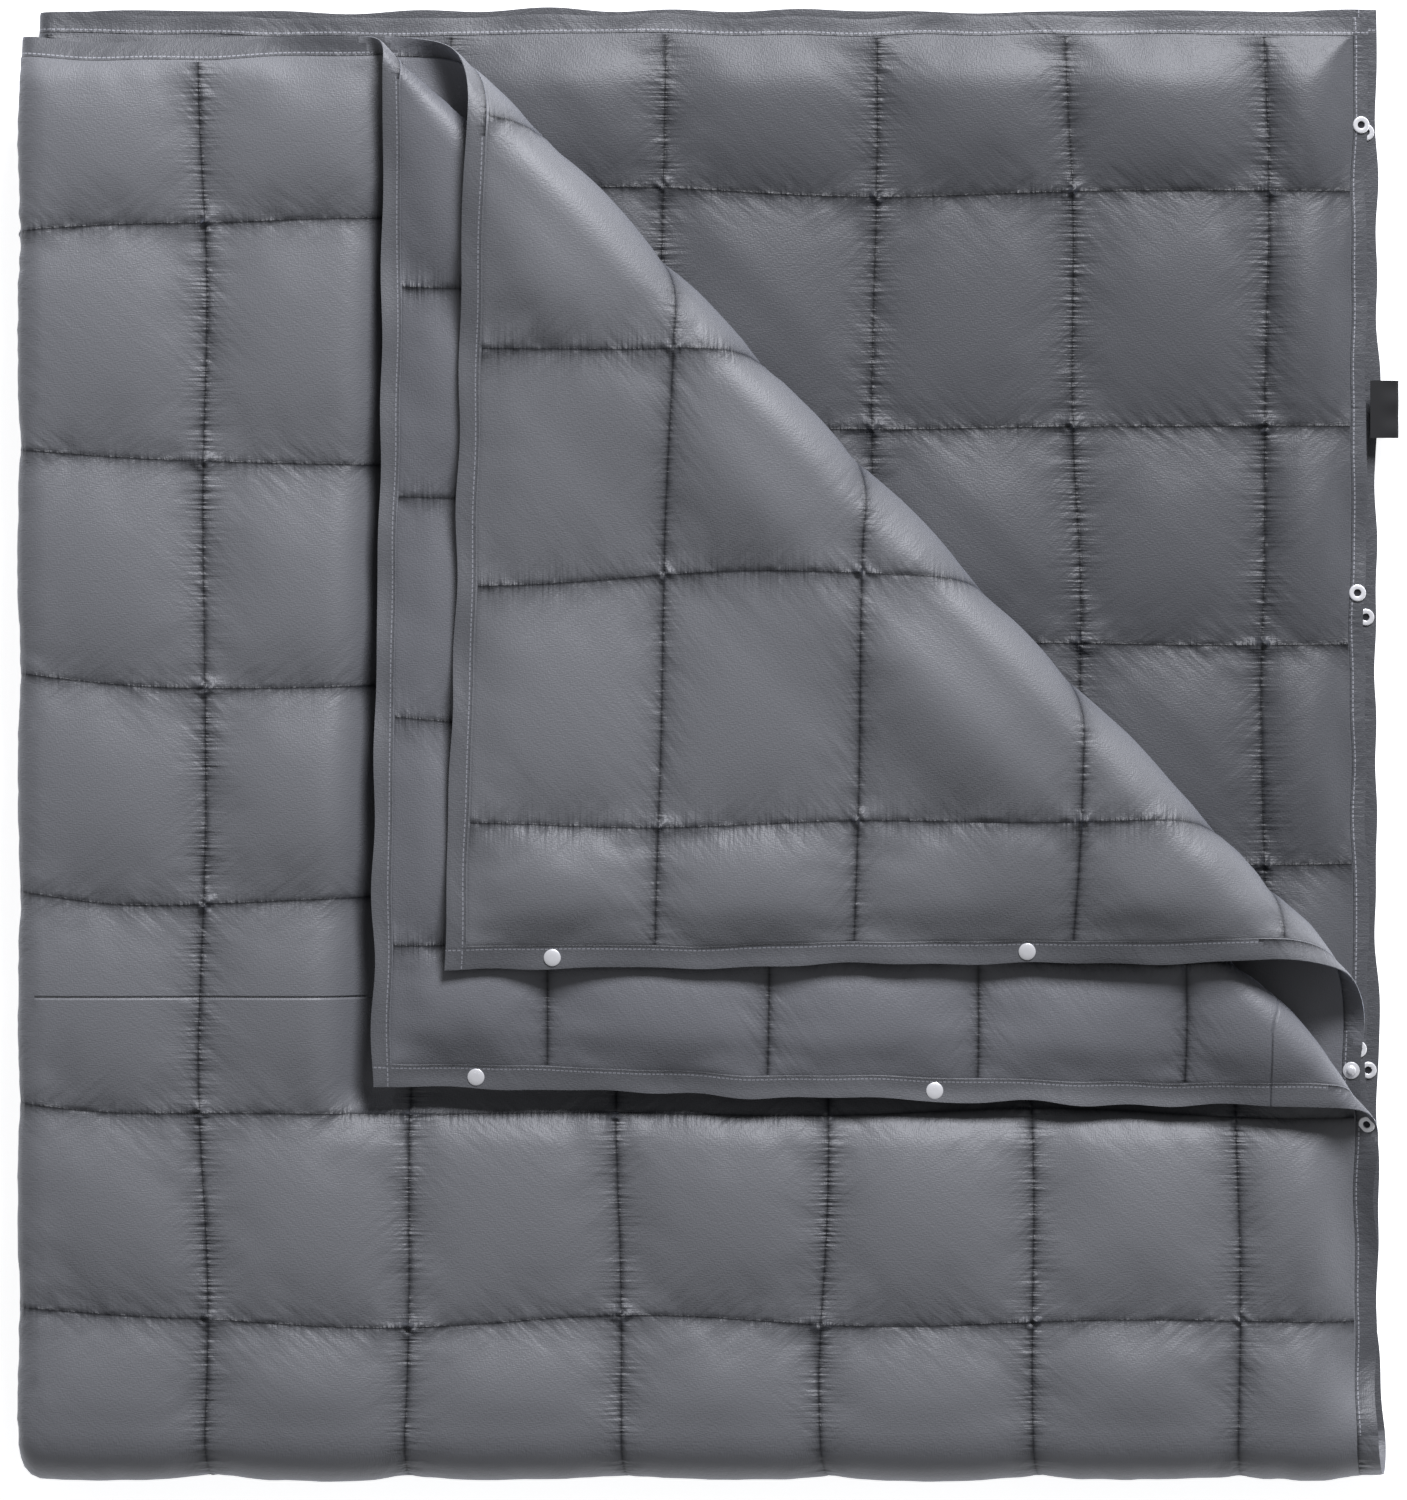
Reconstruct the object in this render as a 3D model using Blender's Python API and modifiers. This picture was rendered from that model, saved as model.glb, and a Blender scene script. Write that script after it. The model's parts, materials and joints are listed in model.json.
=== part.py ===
"""Quilted camp quilt, folded in four, with the corner of its two upper layers turned back.

Frame: metres, +Z up, origin on the floor under the middle of the folded quilt. +X runs from the folded side edge to
the open side edge with the snaps, +Y from the foot fold to the open top edge. Layer 1 is the top one, layer 4 the
bottom one. Layers 4 and 3 are one pair, layers 2 and 1 the other, and each pair is a sheet folded over at -X.
"""

import math

import bpy
import bmesh
from mathutils import Matrix, Vector

# ---- overall sizes of the folded quilt ----
FOLDED_WIDTH = 1.0075  # from the folded side edge to the open side hem
FOLDED_LENGTH = 1.089  # from the foot fold to the open top hem
LAYER_PITCH = 0.020  # one padded layer under its neighbours
UPPER_TOP_INSET = 0.024  # the upper pair ends this much short of the lower pair at the top
UPPER_SIDE_INSET = 0.006  # and this much at the open side
LOWER_FOLD_INSET = 0.010  # the lower pair's folded edge lies this much inside the upper one's

# ---- skins, filling and hems ----
SKIN = 0.0006  # a woven skin with the seam allowance behind it
LAYER_GAP = 0.0006  # air between two layers
FIT_GAP = 0.0003  # air between pieces that touch
HEM_WIDTH = 0.017
HEM_THICKNESS = 0.002
BEND_STEPS = 8  # sides in a half round

# ---- the corner that is turned back ----
CORNER_ALONG_TOP = 0.741  # from the corner to where its hinge line crosses the top hem
CORNER_ALONG_SIDE = 0.754  # the same along the side hem

# ---- snaps ----
SNAP_RADIUS = 0.00625
SNAP_HOLE_RADIUS = 0.0024
SNAP_RING_HEIGHT = 0.0016
SNAP_CAP_HEIGHT = 0.0013
SNAP_EDGE = 0.0005  # rounding of the cap's and the ring's rim
SNAP_POST_RADIUS = 0.0018
SNAP_STUD_HEIGHT = 0.0034
SNAP_FROM_CORNER = 0.079
SNAP_PITCH = 0.342
SNAP_FROM_BEND = 0.012  # the last snap of the upper layers sits this far below their corner's bend
SNAPS_ON_EDGE = 3
SNAP_SIDES = 24

# ---- label ----
LABEL_REACH = 0.0153  # how far it stands out of the side hem
LABEL_LENGTH = 0.042
LABEL_THICKNESS = 0.0016
LABEL_FROM_TOP = 0.292  # from the lower pair's top hem to the label's middle



def level(layers):
    """Height of the line between two layers, counted from the floor."""
    return layers * LAYER_PITCH - LAYER_GAP / 2


# ---- worked out ----
halfThickness = (LAYER_PITCH - LAYER_GAP) / 2
leftEdge = -(FOLDED_WIDTH + LABEL_REACH) / 2
rightEdge = leftEdge + FOLDED_WIDTH
topEdge = FOLDED_LENGTH / 2
footLine = -FOLDED_LENGTH / 2 + 2 * LAYER_PITCH  # the axis of the foot fold, in plan
footHeight = level(2)
cornerHeight = level(4)  # both corners turn about a line on top of layer 1

# each pair: its middle height, the centre of its side bend, its open side and its top hem
lowerPair = {
    "name": "lower",
    "z": level(1),
    "bend": leftEdge + LAYER_PITCH + LOWER_FOLD_INSET,
    "side": rightEdge,
    "top": topEdge,
}
upperPair = {
    "name": "upper",
    "z": level(3),
    "bend": leftEdge + LAYER_PITCH,
    "side": rightEdge - UPPER_SIDE_INSET,
    "top": topEdge - UPPER_TOP_INSET,
}

# the corner's hinge line crosses the upper pair's top hem and side hem at these two points
hingeAtTop = Vector((upperPair["side"] - CORNER_ALONG_TOP, upperPair["top"], 0))
hingeAtSide = Vector((upperPair["side"], upperPair["top"] - CORNER_ALONG_SIDE, 0))
hingeAlong = (hingeAtSide - hingeAtTop).normalized()
hingeOut = Vector((-hingeAlong.y, hingeAlong.x, 0))  # in plan, from the hinge line towards the corner
topBendInset = math.pi * LAYER_PITCH / 4  # half the cloth in layer 1's bend
topTakeUp = math.pi * LAYER_PITCH / 2  # cloth in layer 1's bend
secondTakeUp = math.pi * LAYER_PITCH * 3 / 2  # cloth in layer 2's bend, which goes round layer 1's

COLOURS = {
    "face": ((0.105, 0.108, 0.118), 0.62, 0.0),
    "lining": ((0.135, 0.138, 0.150), 0.62, 0.0),
    "batting": ((0.80, 0.80, 0.78), 0.95, 0.0),
    "hem": ((0.085, 0.088, 0.096), 0.65, 0.0),
    "snap": ((0.78, 0.78, 0.79), 0.22, 1.0),
    "label": ((0.012, 0.012, 0.014), 0.85, 0.0),
}


def clearScene():
    for old in list(bpy.data.objects):
        bpy.data.objects.remove(old, do_unlink=True)


def addCollection(name):
    collection = bpy.data.collections.new(name)
    bpy.context.scene.collection.children.link(collection)
    return collection


def addMaterial(name, slot):
    colour, roughness, metallic = COLOURS[slot]
    material = bpy.data.materials.new(name)
    material.use_nodes = True
    shader = material.node_tree.nodes["Principled BSDF"]
    shader.inputs["Base Color"].default_value = (*colour, 1)
    shader.inputs["Roughness"].default_value = roughness
    shader.inputs["Metallic"].default_value = metallic
    material.diffuse_color = (*colour, 1)
    return material


def place(name, data, slot, parent, matrix):
    """Adds one named piece with a material of its own, at a place in the world."""
    piece = bpy.data.objects.new(name, data)
    parts.objects.link(piece)
    piece.data.materials.clear()
    piece.data.materials.append(addMaterial(name, slot))
    piece.parent = parent
    piece.matrix_world = matrix
    return piece


def plate(outline, thickness):
    """A flat outline in plan, as thick as asked about its own plane."""
    curve = bpy.data.curves.new("plate", "CURVE")
    curve.dimensions = "2D"
    curve.fill_mode = "BOTH"
    curve.extrude = thickness / 2
    spline = curve.splines.new("POLY")
    spline.points.add(len(outline) - 1)
    for point, (x, y) in zip(spline.points, outline):
        point.co = (x, y, 0, 1)
    spline.use_cyclic_u = True
    scratch = bpy.data.objects.new("plate", curve)
    bpy.context.scene.collection.objects.link(scratch)
    mesh = bpy.data.meshes.new_from_object(scratch.evaluated_get(bpy.context.evaluated_depsgraph_get()))
    bpy.data.objects.remove(scratch)
    bpy.data.curves.remove(curve)
    body = bmesh.new()
    body.from_mesh(mesh)
    bmesh.ops.remove_doubles(body, verts=body.verts, dist=0.00001)
    body.to_mesh(mesh)
    body.free()
    return mesh


def turned(profile, sides=SNAP_SIDES):
    """A turned shape: a profile of (radius, height) points, from the top of its axis to the bottom, with a Screw."""
    mesh = bpy.data.meshes.new("turned")
    mesh.from_pydata([(r, 0, z) for r, z in profile], [(i, i + 1) for i in range(len(profile) - 1)], [])
    scratch = bpy.data.objects.new("turned", mesh)
    bpy.context.scene.collection.objects.link(scratch)
    screw = scratch.modifiers.new("turn", "SCREW")
    screw.steps = screw.render_steps = sides
    screw.use_merge_vertices = True
    screw.merge_threshold = 0.00001
    done = bpy.data.meshes.new_from_object(scratch.evaluated_get(bpy.context.evaluated_depsgraph_get()))
    bpy.data.objects.remove(scratch)
    bpy.data.meshes.remove(mesh)
    body = bmesh.new()
    body.from_mesh(done)
    bmesh.ops.remove_doubles(body, verts=body.verts, dist=0.00001)
    bmesh.ops.dissolve_degenerate(body, edges=body.edges, dist=0.00001)
    body.to_mesh(done)
    body.free()
    done.shade_smooth()
    done.set_sharp_from_angle(angle=math.radians(40))
    return done


def halfRound(centre, radius, start):
    """Points of a half circle that begins at an angle and turns anticlockwise."""
    steps = [start + math.pi * i / BEND_STEPS for i in range(BEND_STEPS + 1)]
    return [(centre[0] + radius * math.cos(a), centre[1] + radius * math.sin(a)) for a in steps]


def foldedStrip(pair, inner, outer, end):
    """Section of a strip that runs round the side bend, between two distances from the pair's middle."""
    x, z = pair["bend"], pair["z"]
    outside = [(end, z + outer)] + halfRound((x, z), outer, math.pi / 2) + [(end, z - outer)]
    inside = [(end, z - inner)] + halfRound((x, z), inner, math.pi / 2)[::-1] + [(end, z + inner)]
    return outside + inside


def bendSection(inner, outer):
    """Section of a bend about its own axis, open towards +X of the section."""
    outside = halfRound((0, 0), outer, math.pi / 2)
    return outside + (halfRound((0, 0), inner, math.pi / 2)[::-1] if inner > 0 else [])


def alongY(low, high):
    """Matrix that stands an XZ section up and centres its thickness between two places along Y."""
    return Matrix.Translation((0, (low + high) / 2, 0)) @ Matrix.Rotation(math.pi / 2, 4, "X")


def cut(piece, cutter):
    boolean = piece.modifiers.new("cut_" + cutter.name, "BOOLEAN")
    boolean.operation = "DIFFERENCE"
    boolean.solver = "EXACT"
    boolean.object = cutter


def addCutter(name, mesh, matrix):
    cutter = bpy.data.objects.new(name, mesh)
    cutters.objects.link(cutter)
    cutter.matrix_world = matrix
    cutter.hide_render = True
    cutter.display_type = "WIRE"
    return cutter


def addEmpty(name, place_, along=None):
    """An empty on a joint's axis, with its X along it."""
    empty = bpy.data.objects.new(name, None)
    parts.objects.link(empty)
    empty.location = place_
    if along is not None:
        empty.rotation_euler = along.to_track_quat("X", "Z").to_euler()
    empty.empty_display_size = 0.05
    bpy.context.view_layer.update()
    return empty


def outFromHinge(point):
    """How far a point in plan lies from the hinge line, towards the corner."""
    return (Vector((point[0], point[1], 0)) - hingeAtTop).dot(hingeOut)


def foldOver(point, bend, takeUp):
    """Where a point of the flat corner lies, in plan, after the cloth has gone round its bend."""
    out = outFromHinge(point)
    flat = Vector((point[0], point[1], 0)) + hingeOut * (2 * bend + takeUp - 2 * out)
    return flat.x, flat.y


def crossings(bend, side, top):
    """Where a line parallel to the hinge line crosses a hem line at the top and one at the side."""
    start = hingeAtTop + hingeOut * bend
    atTop = start + hingeAlong * ((top - start.y) / hingeAlong.y)
    atSide = start + hingeAlong * ((side - start.x) / hingeAlong.x)
    return (atTop.x, atTop.y), (atSide.x, atSide.y)


# ---- the two pairs ----


def skinLevels():
    """Distances from a pair's middle of its lining, batting and face, in and out, and of its hem."""
    innerFace, outerFace = LAYER_GAP / 2, LAYER_PITCH - LAYER_GAP / 2
    return {
        "lining": (innerFace, innerFace + SKIN),
        "batting": (innerFace + SKIN + FIT_GAP, outerFace - SKIN - FIT_GAP),
        "face_fabric": (outerFace - SKIN, outerFace),
        "top_hem": ((LAYER_PITCH - HEM_THICKNESS) / 2, (LAYER_PITCH + HEM_THICKNESS) / 2),
    }


def makePair(pair, body, cornerCutters):
    """Skins, batting and hems of two layers that are one sheet folded over at its side."""
    hemLine, hemSide = pair["top"] - HEM_WIDTH, pair["side"] - HEM_WIDTH
    low = footLine + FIT_GAP
    for kind, (inner, outer) in skinLevels().items():
        if kind == "top_hem":
            span, end = (hemLine + FIT_GAP, pair["top"]), pair["side"]
        else:
            span, end = (low, hemLine), hemSide
        slot = {"face_fabric": "face", "top_hem": "hem"}.get(kind, kind)
        section = foldedStrip(pair, inner, outer, end)
        mesh = plate([(x, -z) for x, z in section][::-1], span[1] - span[0])
        matrix = Matrix.Translation((0, sum(span) / 2, 0)) @ Matrix.Rotation(-math.pi / 2, 4, "X")
        piece = place(f"{pair['name']}_{kind}", mesh, slot, body, matrix)
        for cutter in cornerCutters:
            cut(piece, cutter)


def makeSideHem(name, pair, z, top, bottom, body, snapPlaces, cutter=None):
    """The flat hem of one layer along the open side, with a hole for each snap."""
    outline = [
        (pair["side"] - HEM_WIDTH + FIT_GAP, bottom),
        (pair["side"], bottom),
        (pair["side"], top),
        (pair["side"] - HEM_WIDTH + FIT_GAP, top),
    ]
    hem = place(name, plate(outline, HEM_THICKNESS), "hem", body, Matrix.Translation((0, 0, z)))
    if cutter is not None:
        cut(hem, cutter)
    drill(hem, snapPlaces, z)


def drill(hem, snapPlaces, z):
    for i, (x, y) in enumerate(snapPlaces):
        mesh = bpy.data.meshes.new("snap_hole")
        body = bmesh.new()
        radius = SNAP_POST_RADIUS + FIT_GAP
        bmesh.ops.create_cone(
            body, cap_ends=True, segments=SNAP_SIDES, radius1=radius, radius2=radius, depth=4 * HEM_THICKNESS
        )
        body.to_mesh(mesh)
        body.free()
        cut(hem, addCutter(f"{hem.name}_hole_{i + 1}", mesh, Matrix.Translation((x, y, z))))


# ---- the turned-back corners ----


def cornerOutline(layer, inset, hem=False):
    """Flat outline of a corner beyond its bend, inside its hems, or the hem round it."""
    start = layer["bend"] + layer["takeUp"]
    side, top = upperPair["side"] - inset, upperPair["top"] - inset
    atTop, atSide = crossings(start, side, top)
    if not hem:
        return [atTop, atSide, (side, top)]
    innerSide, innerTop = side - HEM_WIDTH + FIT_GAP, top - HEM_WIDTH + FIT_GAP
    innerAtTop, innerAtSide = crossings(start, innerSide, innerTop)
    return [atTop, innerAtTop, (innerSide, innerTop), innerAtSide, atSide, (side, top)]


def makeCorner(layer, body):
    """Skins, batting and hem of one layer's corner, turned over on top of layer 1."""
    z = layer["z"]
    zones = {
        "under": (-halfThickness, -halfThickness + SKIN),
        "batting": (-halfThickness + SKIN + FIT_GAP, halfThickness - SKIN - FIT_GAP),
        "over": (halfThickness - SKIN, halfThickness),
    }
    for zone, (low, high) in zones.items():
        kind = {"under": layer["under"], "over": layer["over"]}.get(zone, zone)
        slot = {"face_fabric": "face"}.get(kind, kind)
        outline = [foldOver(p, layer["bend"], layer["takeUp"]) for p in cornerOutline(layer, HEM_WIDTH)]
        matrix = Matrix.Translation((0, 0, z + (low + high) / 2))
        place(f"{layer['name']}_{kind}", plate(outline, high - low), slot, body, matrix)
    outline = [foldOver(p, layer["bend"], layer["takeUp"]) for p in cornerOutline(layer, 0, hem=True)]
    hem = place(f"{layer['name']}_hem", plate(outline, HEM_THICKNESS), "hem", body, Matrix.Translation((0, 0, z)))
    drill(hem, cornerSnaps(layer), z)


def cornerSnaps(layer):
    """The snaps on the turned-back side hem of a corner."""
    x = upperPair["side"] - HEM_WIDTH / 2
    flat = [(x, upperPair["top"] - SNAP_FROM_CORNER - SNAP_PITCH * i) for i in range(SNAPS_ON_EDGE - 1)]
    return [foldOver(p, layer["bend"], layer["takeUp"]) for p in flat]


def lastUpperSnap(layer):
    """The one snap of an upper layer that stays on its flat part, just below the corner's bend."""
    x = upperPair["side"] - HEM_WIDTH / 2
    return [(x, crossings(layer["bend"], upperPair["side"] - HEM_WIDTH, 0)[1][1] - SNAP_FROM_BEND)]


def makeCornerBend(layer, inner, outer, body):
    """The padded half round between a layer and its turned-back corner, along the hinge line."""
    atTop, atSide = crossings(layer["bend"], upperPair["side"] - HEM_WIDTH, upperPair["top"] - HEM_WIDTH)
    start, end = Vector((*atTop, cornerHeight)), Vector((*atSide, cornerHeight))
    along = (end - start).normalized()
    axes = Matrix((-hingeOut, Vector((0, 0, 1)), (-hingeOut).cross(Vector((0, 0, 1))))).transposed().to_4x4()
    trim = outer * abs(hingeAlong.x / hingeAlong.y)  # so that the round's far side stays inside the hems
    matrix = Matrix.Translation((start + end) / 2) @ axes
    section = [(x - FIT_GAP, y) for x, y in bendSection(inner, outer)]
    mesh = plate(section, (end - start).dot(along) - 2 * trim)
    place(f"{layer['name']}_bend", mesh, "face", body, matrix)


def makeFootBend(name, inner, outer, body):
    """The padded half round that joins the lower half to the upper one."""
    section = [(x - FIT_GAP, y) for x, y in bendSection(inner, outer)]
    width = upperPair["side"] - leftEdge
    axes = Matrix(((0, 1, 0), (0, 0, 1), (1, 0, 0))).transposed().to_4x4()
    mesh = plate(section, width)
    matrix = Matrix.Translation((leftEdge + width / 2, footLine, footHeight)) @ axes
    place(name, mesh, "face", body, matrix)


# ---- snaps and label ----


def capMesh():
    """Domed cap below the hem with its post upwards. Height 0 is the face against the hem."""
    post = FIT_GAP + HEM_THICKNESS + FIT_GAP
    rim, r = SNAP_CAP_HEIGHT, SNAP_RADIUS
    return turned(
        [
            (0, post),
            (SNAP_POST_RADIUS, post),
            (SNAP_POST_RADIUS, 0),
            (r - SNAP_EDGE, 0),
            (r, -SNAP_EDGE),
            (r - SNAP_EDGE, -rim + SNAP_EDGE),
            (r / 2, -rim),
            (0, -rim),
        ]
    )


def ringMesh():
    """Socket ring above the hem, with a flat top. Height 0 is the face against the hem."""
    r, top, hole = SNAP_RADIUS, SNAP_RING_HEIGHT, SNAP_HOLE_RADIUS
    return turned(
        [
            (hole, 0),
            (hole, top),
            (r - SNAP_EDGE, top),
            (r, top - SNAP_EDGE),
            (r, SNAP_EDGE),
            (r - SNAP_EDGE, 0),
            (hole, 0),
        ]
    )


def studMesh():
    """Stud above the hem: a flat base with a boss that fits the ring's hole."""
    r, base, boss = SNAP_RADIUS, SNAP_RING_HEIGHT / 2, SNAP_HOLE_RADIUS - FIT_GAP
    rise = FIT_GAP + 2 * SNAP_EDGE  # clear of the end of the post
    return turned(
        [
            (0, SNAP_STUD_HEIGHT),
            (boss - SNAP_EDGE, SNAP_STUD_HEIGHT),
            (boss, SNAP_STUD_HEIGHT - SNAP_EDGE),
            (boss, base + rise),
            (r - SNAP_EDGE, base + rise),
            (r, rise + base - SNAP_EDGE),
            (r, SNAP_EDGE),
            (r - SNAP_EDGE, 0),
            (SNAP_POST_RADIUS + FIT_GAP, 0),
            (SNAP_POST_RADIUS + FIT_GAP, rise),
            (0, rise),
        ]
    )


def makeSnaps(name, places, z, body, over, first=1, turnedOver=False):
    """One cap and one ring or stud at each place on a hem. turnedOver puts the cap on top."""
    flip = Matrix.Rotation(math.pi, 4, "X") if turnedOver else Matrix.Identity(4)
    for i, (x, y) in enumerate(places):
        middle = Matrix.Translation((x, y, z)) @ flip
        reach = HEM_THICKNESS / 2 + FIT_GAP
        number = first + i
        place(f"{name}_snap_cap_{number}", capMesh(), "snap", body, middle @ Matrix.Translation((0, 0, -reach)))
        mesh = ringMesh() if over == "ring" else studMesh()
        place(f"{name}_snap_{over}_{number}", mesh, "snap", body, middle @ Matrix.Translation((0, 0, reach)))


def makeLabel(body):
    """Woven tab that stands out of the bottom layer's side hem."""
    outline = [
        (rightEdge + FIT_GAP, -LABEL_LENGTH / 2),
        (rightEdge + LABEL_REACH, -LABEL_LENGTH / 2),
        (rightEdge + LABEL_REACH, LABEL_LENGTH / 2),
        (rightEdge + FIT_GAP, LABEL_LENGTH / 2),
    ]
    where = Matrix.Translation((0, topEdge - LABEL_FROM_TOP, level(0.5)))
    place("side_label", plate(outline, LABEL_THICKNESS), "label", body, where)


def cornerCutter(name, bend, low, high):
    """A wedge that takes the corner away beyond a line parallel to the hinge line, between two heights."""
    start = hingeAtTop + hingeOut * bend
    reach = 2 * (FOLDED_WIDTH + FOLDED_LENGTH)
    a, b = start - hingeAlong * reach, start + hingeAlong * reach
    outline = [a, b, b + hingeOut * reach, a + hingeOut * reach]
    mesh = plate([(p.x, p.y) for p in outline], high - low)
    return addCutter(name, mesh, Matrix.Translation((0, 0, (low + high) / 2)))


clearScene()
parts = addCollection("camp_quilt")
cutters = addCollection("cutters")

topLayer = {
    "name": "top_corner",
    "z": level(4.5),
    "bend": -topBendInset,
    "takeUp": topTakeUp,
    "under": "face_fabric",
    "over": "lining",
}
secondLayer = {
    "name": "second_corner",
    "z": level(5.5),
    "bend": 0.0,
    "takeUp": secondTakeUp,
    "under": "lining",
    "over": "face_fabric",
}

lowerHalf = addEmpty("lower_half", (0, 0, 0))
upperHalf = addEmpty("foot_fold_axis", (0, footLine, footHeight))
hingeMiddle = (hingeAtTop + hingeAtSide) / 2 + Vector((0, 0, cornerHeight))
topCorner = addEmpty("top_corner_axis", hingeMiddle, hingeAlong)
secondCorner = addEmpty("second_corner_axis", hingeMiddle, hingeAlong)

# layer 1 ends at its bend's line and layer 2 at its own, both short of it by a touching gap
layerOneCut = cornerCutter("layer_1_cut", topLayer["bend"] - FIT_GAP, level(3), level(5))
layerTwoCut = cornerCutter("layer_2_cut", secondLayer["bend"] - FIT_GAP, level(1), level(3))

makePair(lowerPair, lowerHalf, [])
makePair(upperPair, upperHalf, [layerOneCut, layerTwoCut])

hemLow = footLine + FIT_GAP
for layerName, z in (("bottom_layer", level(0.5)), ("third_layer", level(1.5))):
    x = lowerPair["side"] - HEM_WIDTH / 2
    places = [(x, lowerPair["top"] - SNAP_FROM_CORNER - SNAP_PITCH * i) for i in range(SNAPS_ON_EDGE)]
    makeSideHem(f"{layerName}_side_hem", lowerPair, z, lowerPair["top"] - HEM_WIDTH, hemLow, lowerHalf, places)
    makeSnaps(layerName, places, z, lowerHalf, "ring")

for layer, layerName, z, cutter, over in (
    (topLayer, "top_layer", level(3.5), layerOneCut, "ring"),
    (secondLayer, "second_layer", level(2.5), layerTwoCut, "stud"),
):
    places = lastUpperSnap(layer)
    makeSideHem(
        f"{layerName}_side_hem", upperPair, z, upperPair["top"] - HEM_WIDTH, hemLow, upperHalf, places, cutter
    )
    makeSnaps(layerName, places, z, upperHalf, over, first=SNAPS_ON_EDGE)
    body = topCorner if layer is topLayer else secondCorner
    makeCorner(layer, body)
    makeSnaps(layerName, cornerSnaps(layer), layer["z"], body, over, turnedOver=True)

bendInner, bendOuter = LAYER_GAP / 2, LAYER_PITCH - LAYER_GAP / 2
makeCornerBend(topLayer, 0, bendOuter, upperHalf)
makeCornerBend(secondLayer, LAYER_PITCH + bendInner, 2 * LAYER_PITCH - LAYER_GAP / 2, upperHalf)
makeFootBend("foot_bend_inner", bendInner, bendOuter, lowerHalf)
makeFootBend("foot_bend_outer", LAYER_PITCH + bendInner, 2 * LAYER_PITCH - LAYER_GAP / 2, lowerHalf)
makeLabel(lowerHalf)
bpy.context.view_layer.update()
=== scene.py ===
import json
import math
import bpy
import numpy as np
from mathutils import Matrix, Vector


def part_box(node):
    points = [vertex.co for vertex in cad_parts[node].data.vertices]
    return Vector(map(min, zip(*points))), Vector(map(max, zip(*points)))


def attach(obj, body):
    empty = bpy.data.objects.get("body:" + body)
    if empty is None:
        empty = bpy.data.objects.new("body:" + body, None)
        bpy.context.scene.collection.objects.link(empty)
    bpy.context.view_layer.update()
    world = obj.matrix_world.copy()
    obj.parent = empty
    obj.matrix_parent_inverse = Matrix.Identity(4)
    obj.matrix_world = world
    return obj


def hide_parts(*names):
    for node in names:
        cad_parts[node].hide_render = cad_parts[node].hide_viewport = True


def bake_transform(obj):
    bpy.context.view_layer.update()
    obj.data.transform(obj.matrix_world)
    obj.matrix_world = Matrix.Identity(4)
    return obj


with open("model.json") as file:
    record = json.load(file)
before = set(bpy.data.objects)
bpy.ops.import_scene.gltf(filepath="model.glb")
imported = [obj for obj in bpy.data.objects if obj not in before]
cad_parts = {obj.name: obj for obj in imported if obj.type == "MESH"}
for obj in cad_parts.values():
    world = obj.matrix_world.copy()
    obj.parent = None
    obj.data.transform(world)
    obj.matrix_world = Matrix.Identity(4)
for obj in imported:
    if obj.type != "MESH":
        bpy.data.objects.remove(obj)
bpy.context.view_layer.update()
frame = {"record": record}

# The frame that everything hangs on
joints = {j["name"]: j for j in frame["record"]["behaviour"]["joints"]}
footAxis = Vector(joints["foot_fold"]["pos_m"])
cornerAxis = Vector(joints["top_corner_fold"]["pos_m"])
pitch = (cornerAxis.z - footAxis.z) / 2  # thickness of one layer
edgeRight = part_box("bottom_layer_side_hem")[1][0]
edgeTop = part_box("lower_top_hem")[1][1]
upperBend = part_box("upper_face_fabric")[0][0] + pitch  # centre of the upper pair's side fold
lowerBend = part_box("lower_face_fabric")[0][0] + pitch


def level(layers):
    return footAxis.z + (layers - 2) * pitch


def smooth(x):
    x = np.clip(x, 0, 1)
    return x * x * (3 - 2 * x)


def deselectAll():
    for o in bpy.context.selected_objects:
        o.select_set(False)
    bpy.context.view_layer.objects.active = None


# Quilt: one sheet of padded squares, folded three times
quilt = {
    "squareLines": 36,  # mesh lines across a square, closest together at its seams
    "lastLines": 24,  # across the shorter squares next to the hems
    "hemLines": 6,
    "crowding": 0.66,  # 0 spreads the lines evenly
    "seamHalf": 0.0012,  # half the thickness in a seam
    "puffHalf": 0.0093,  # and in the middle of a square
    "mostHalf": 0.0098,  # layers touch at half a pitch
    "hemHalf": 0.0010,
    "edgeHalf": 0.0005,
    "hemDrop": 0.30,  # share of its height by which an open edge of the pile sags
    "hemReach": 0.060,  # how far in from the edge it begins to sag
    "flapDrop": 0.0065,  # how far the hem of a turned-back corner drops on what it lies on
    "bendClear": 0.060,  # no sag this close to a bend
    "pull": 0.0022,  # how far the stitching draws a seam away from the side that is looked at
    "loose": 0.22,  # how much fuller the squares are that nothing lies on
    "dipLeft": 0.30,  # share of its height that the pile loses right under the flaps' left hem
    "dipBelow": 0.17,  # and under their lower hem
    "press": 0.11,  # share of its height that the pile loses under the turned-back corners
    "pressReach": 0.046,  # and how far outside them that begins
    "wander": 0.0020,  # how far a seam strays from straight
    "seed": 7,
}

# Places of the seams, of the hem's stitching and of its edge, from the folds outwards, in metres.
# The outer sheet is layers 1 and 4, the inner sheet layers 2 and 3.
topX = [-0.3672, -0.2184, -0.0630, 0.0880, 0.2375, 0.3914, edgeRight - 0.0196, edgeRight - 0.0044]
bottomX = [-0.3570, -0.2080, -0.0530, 0.0980, 0.2470, 0.4010, edgeRight - 0.0151, edgeRight]
secondX = [-0.4150, -0.2600, -0.1075, 0.0537, 0.2128, 0.3836, edgeRight - 0.0271, edgeRight - 0.0121]
thirdX = [-0.3380, -0.1850, -0.0301, 0.1239, 0.2712, 0.4119, edgeRight - 0.0196, edgeRight - 0.0087]
topY = [-0.4200, -0.2683, -0.1136, 0.0469, 0.2089, 0.3848, edgeTop - 0.0387, edgeTop - 0.0248]
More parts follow.
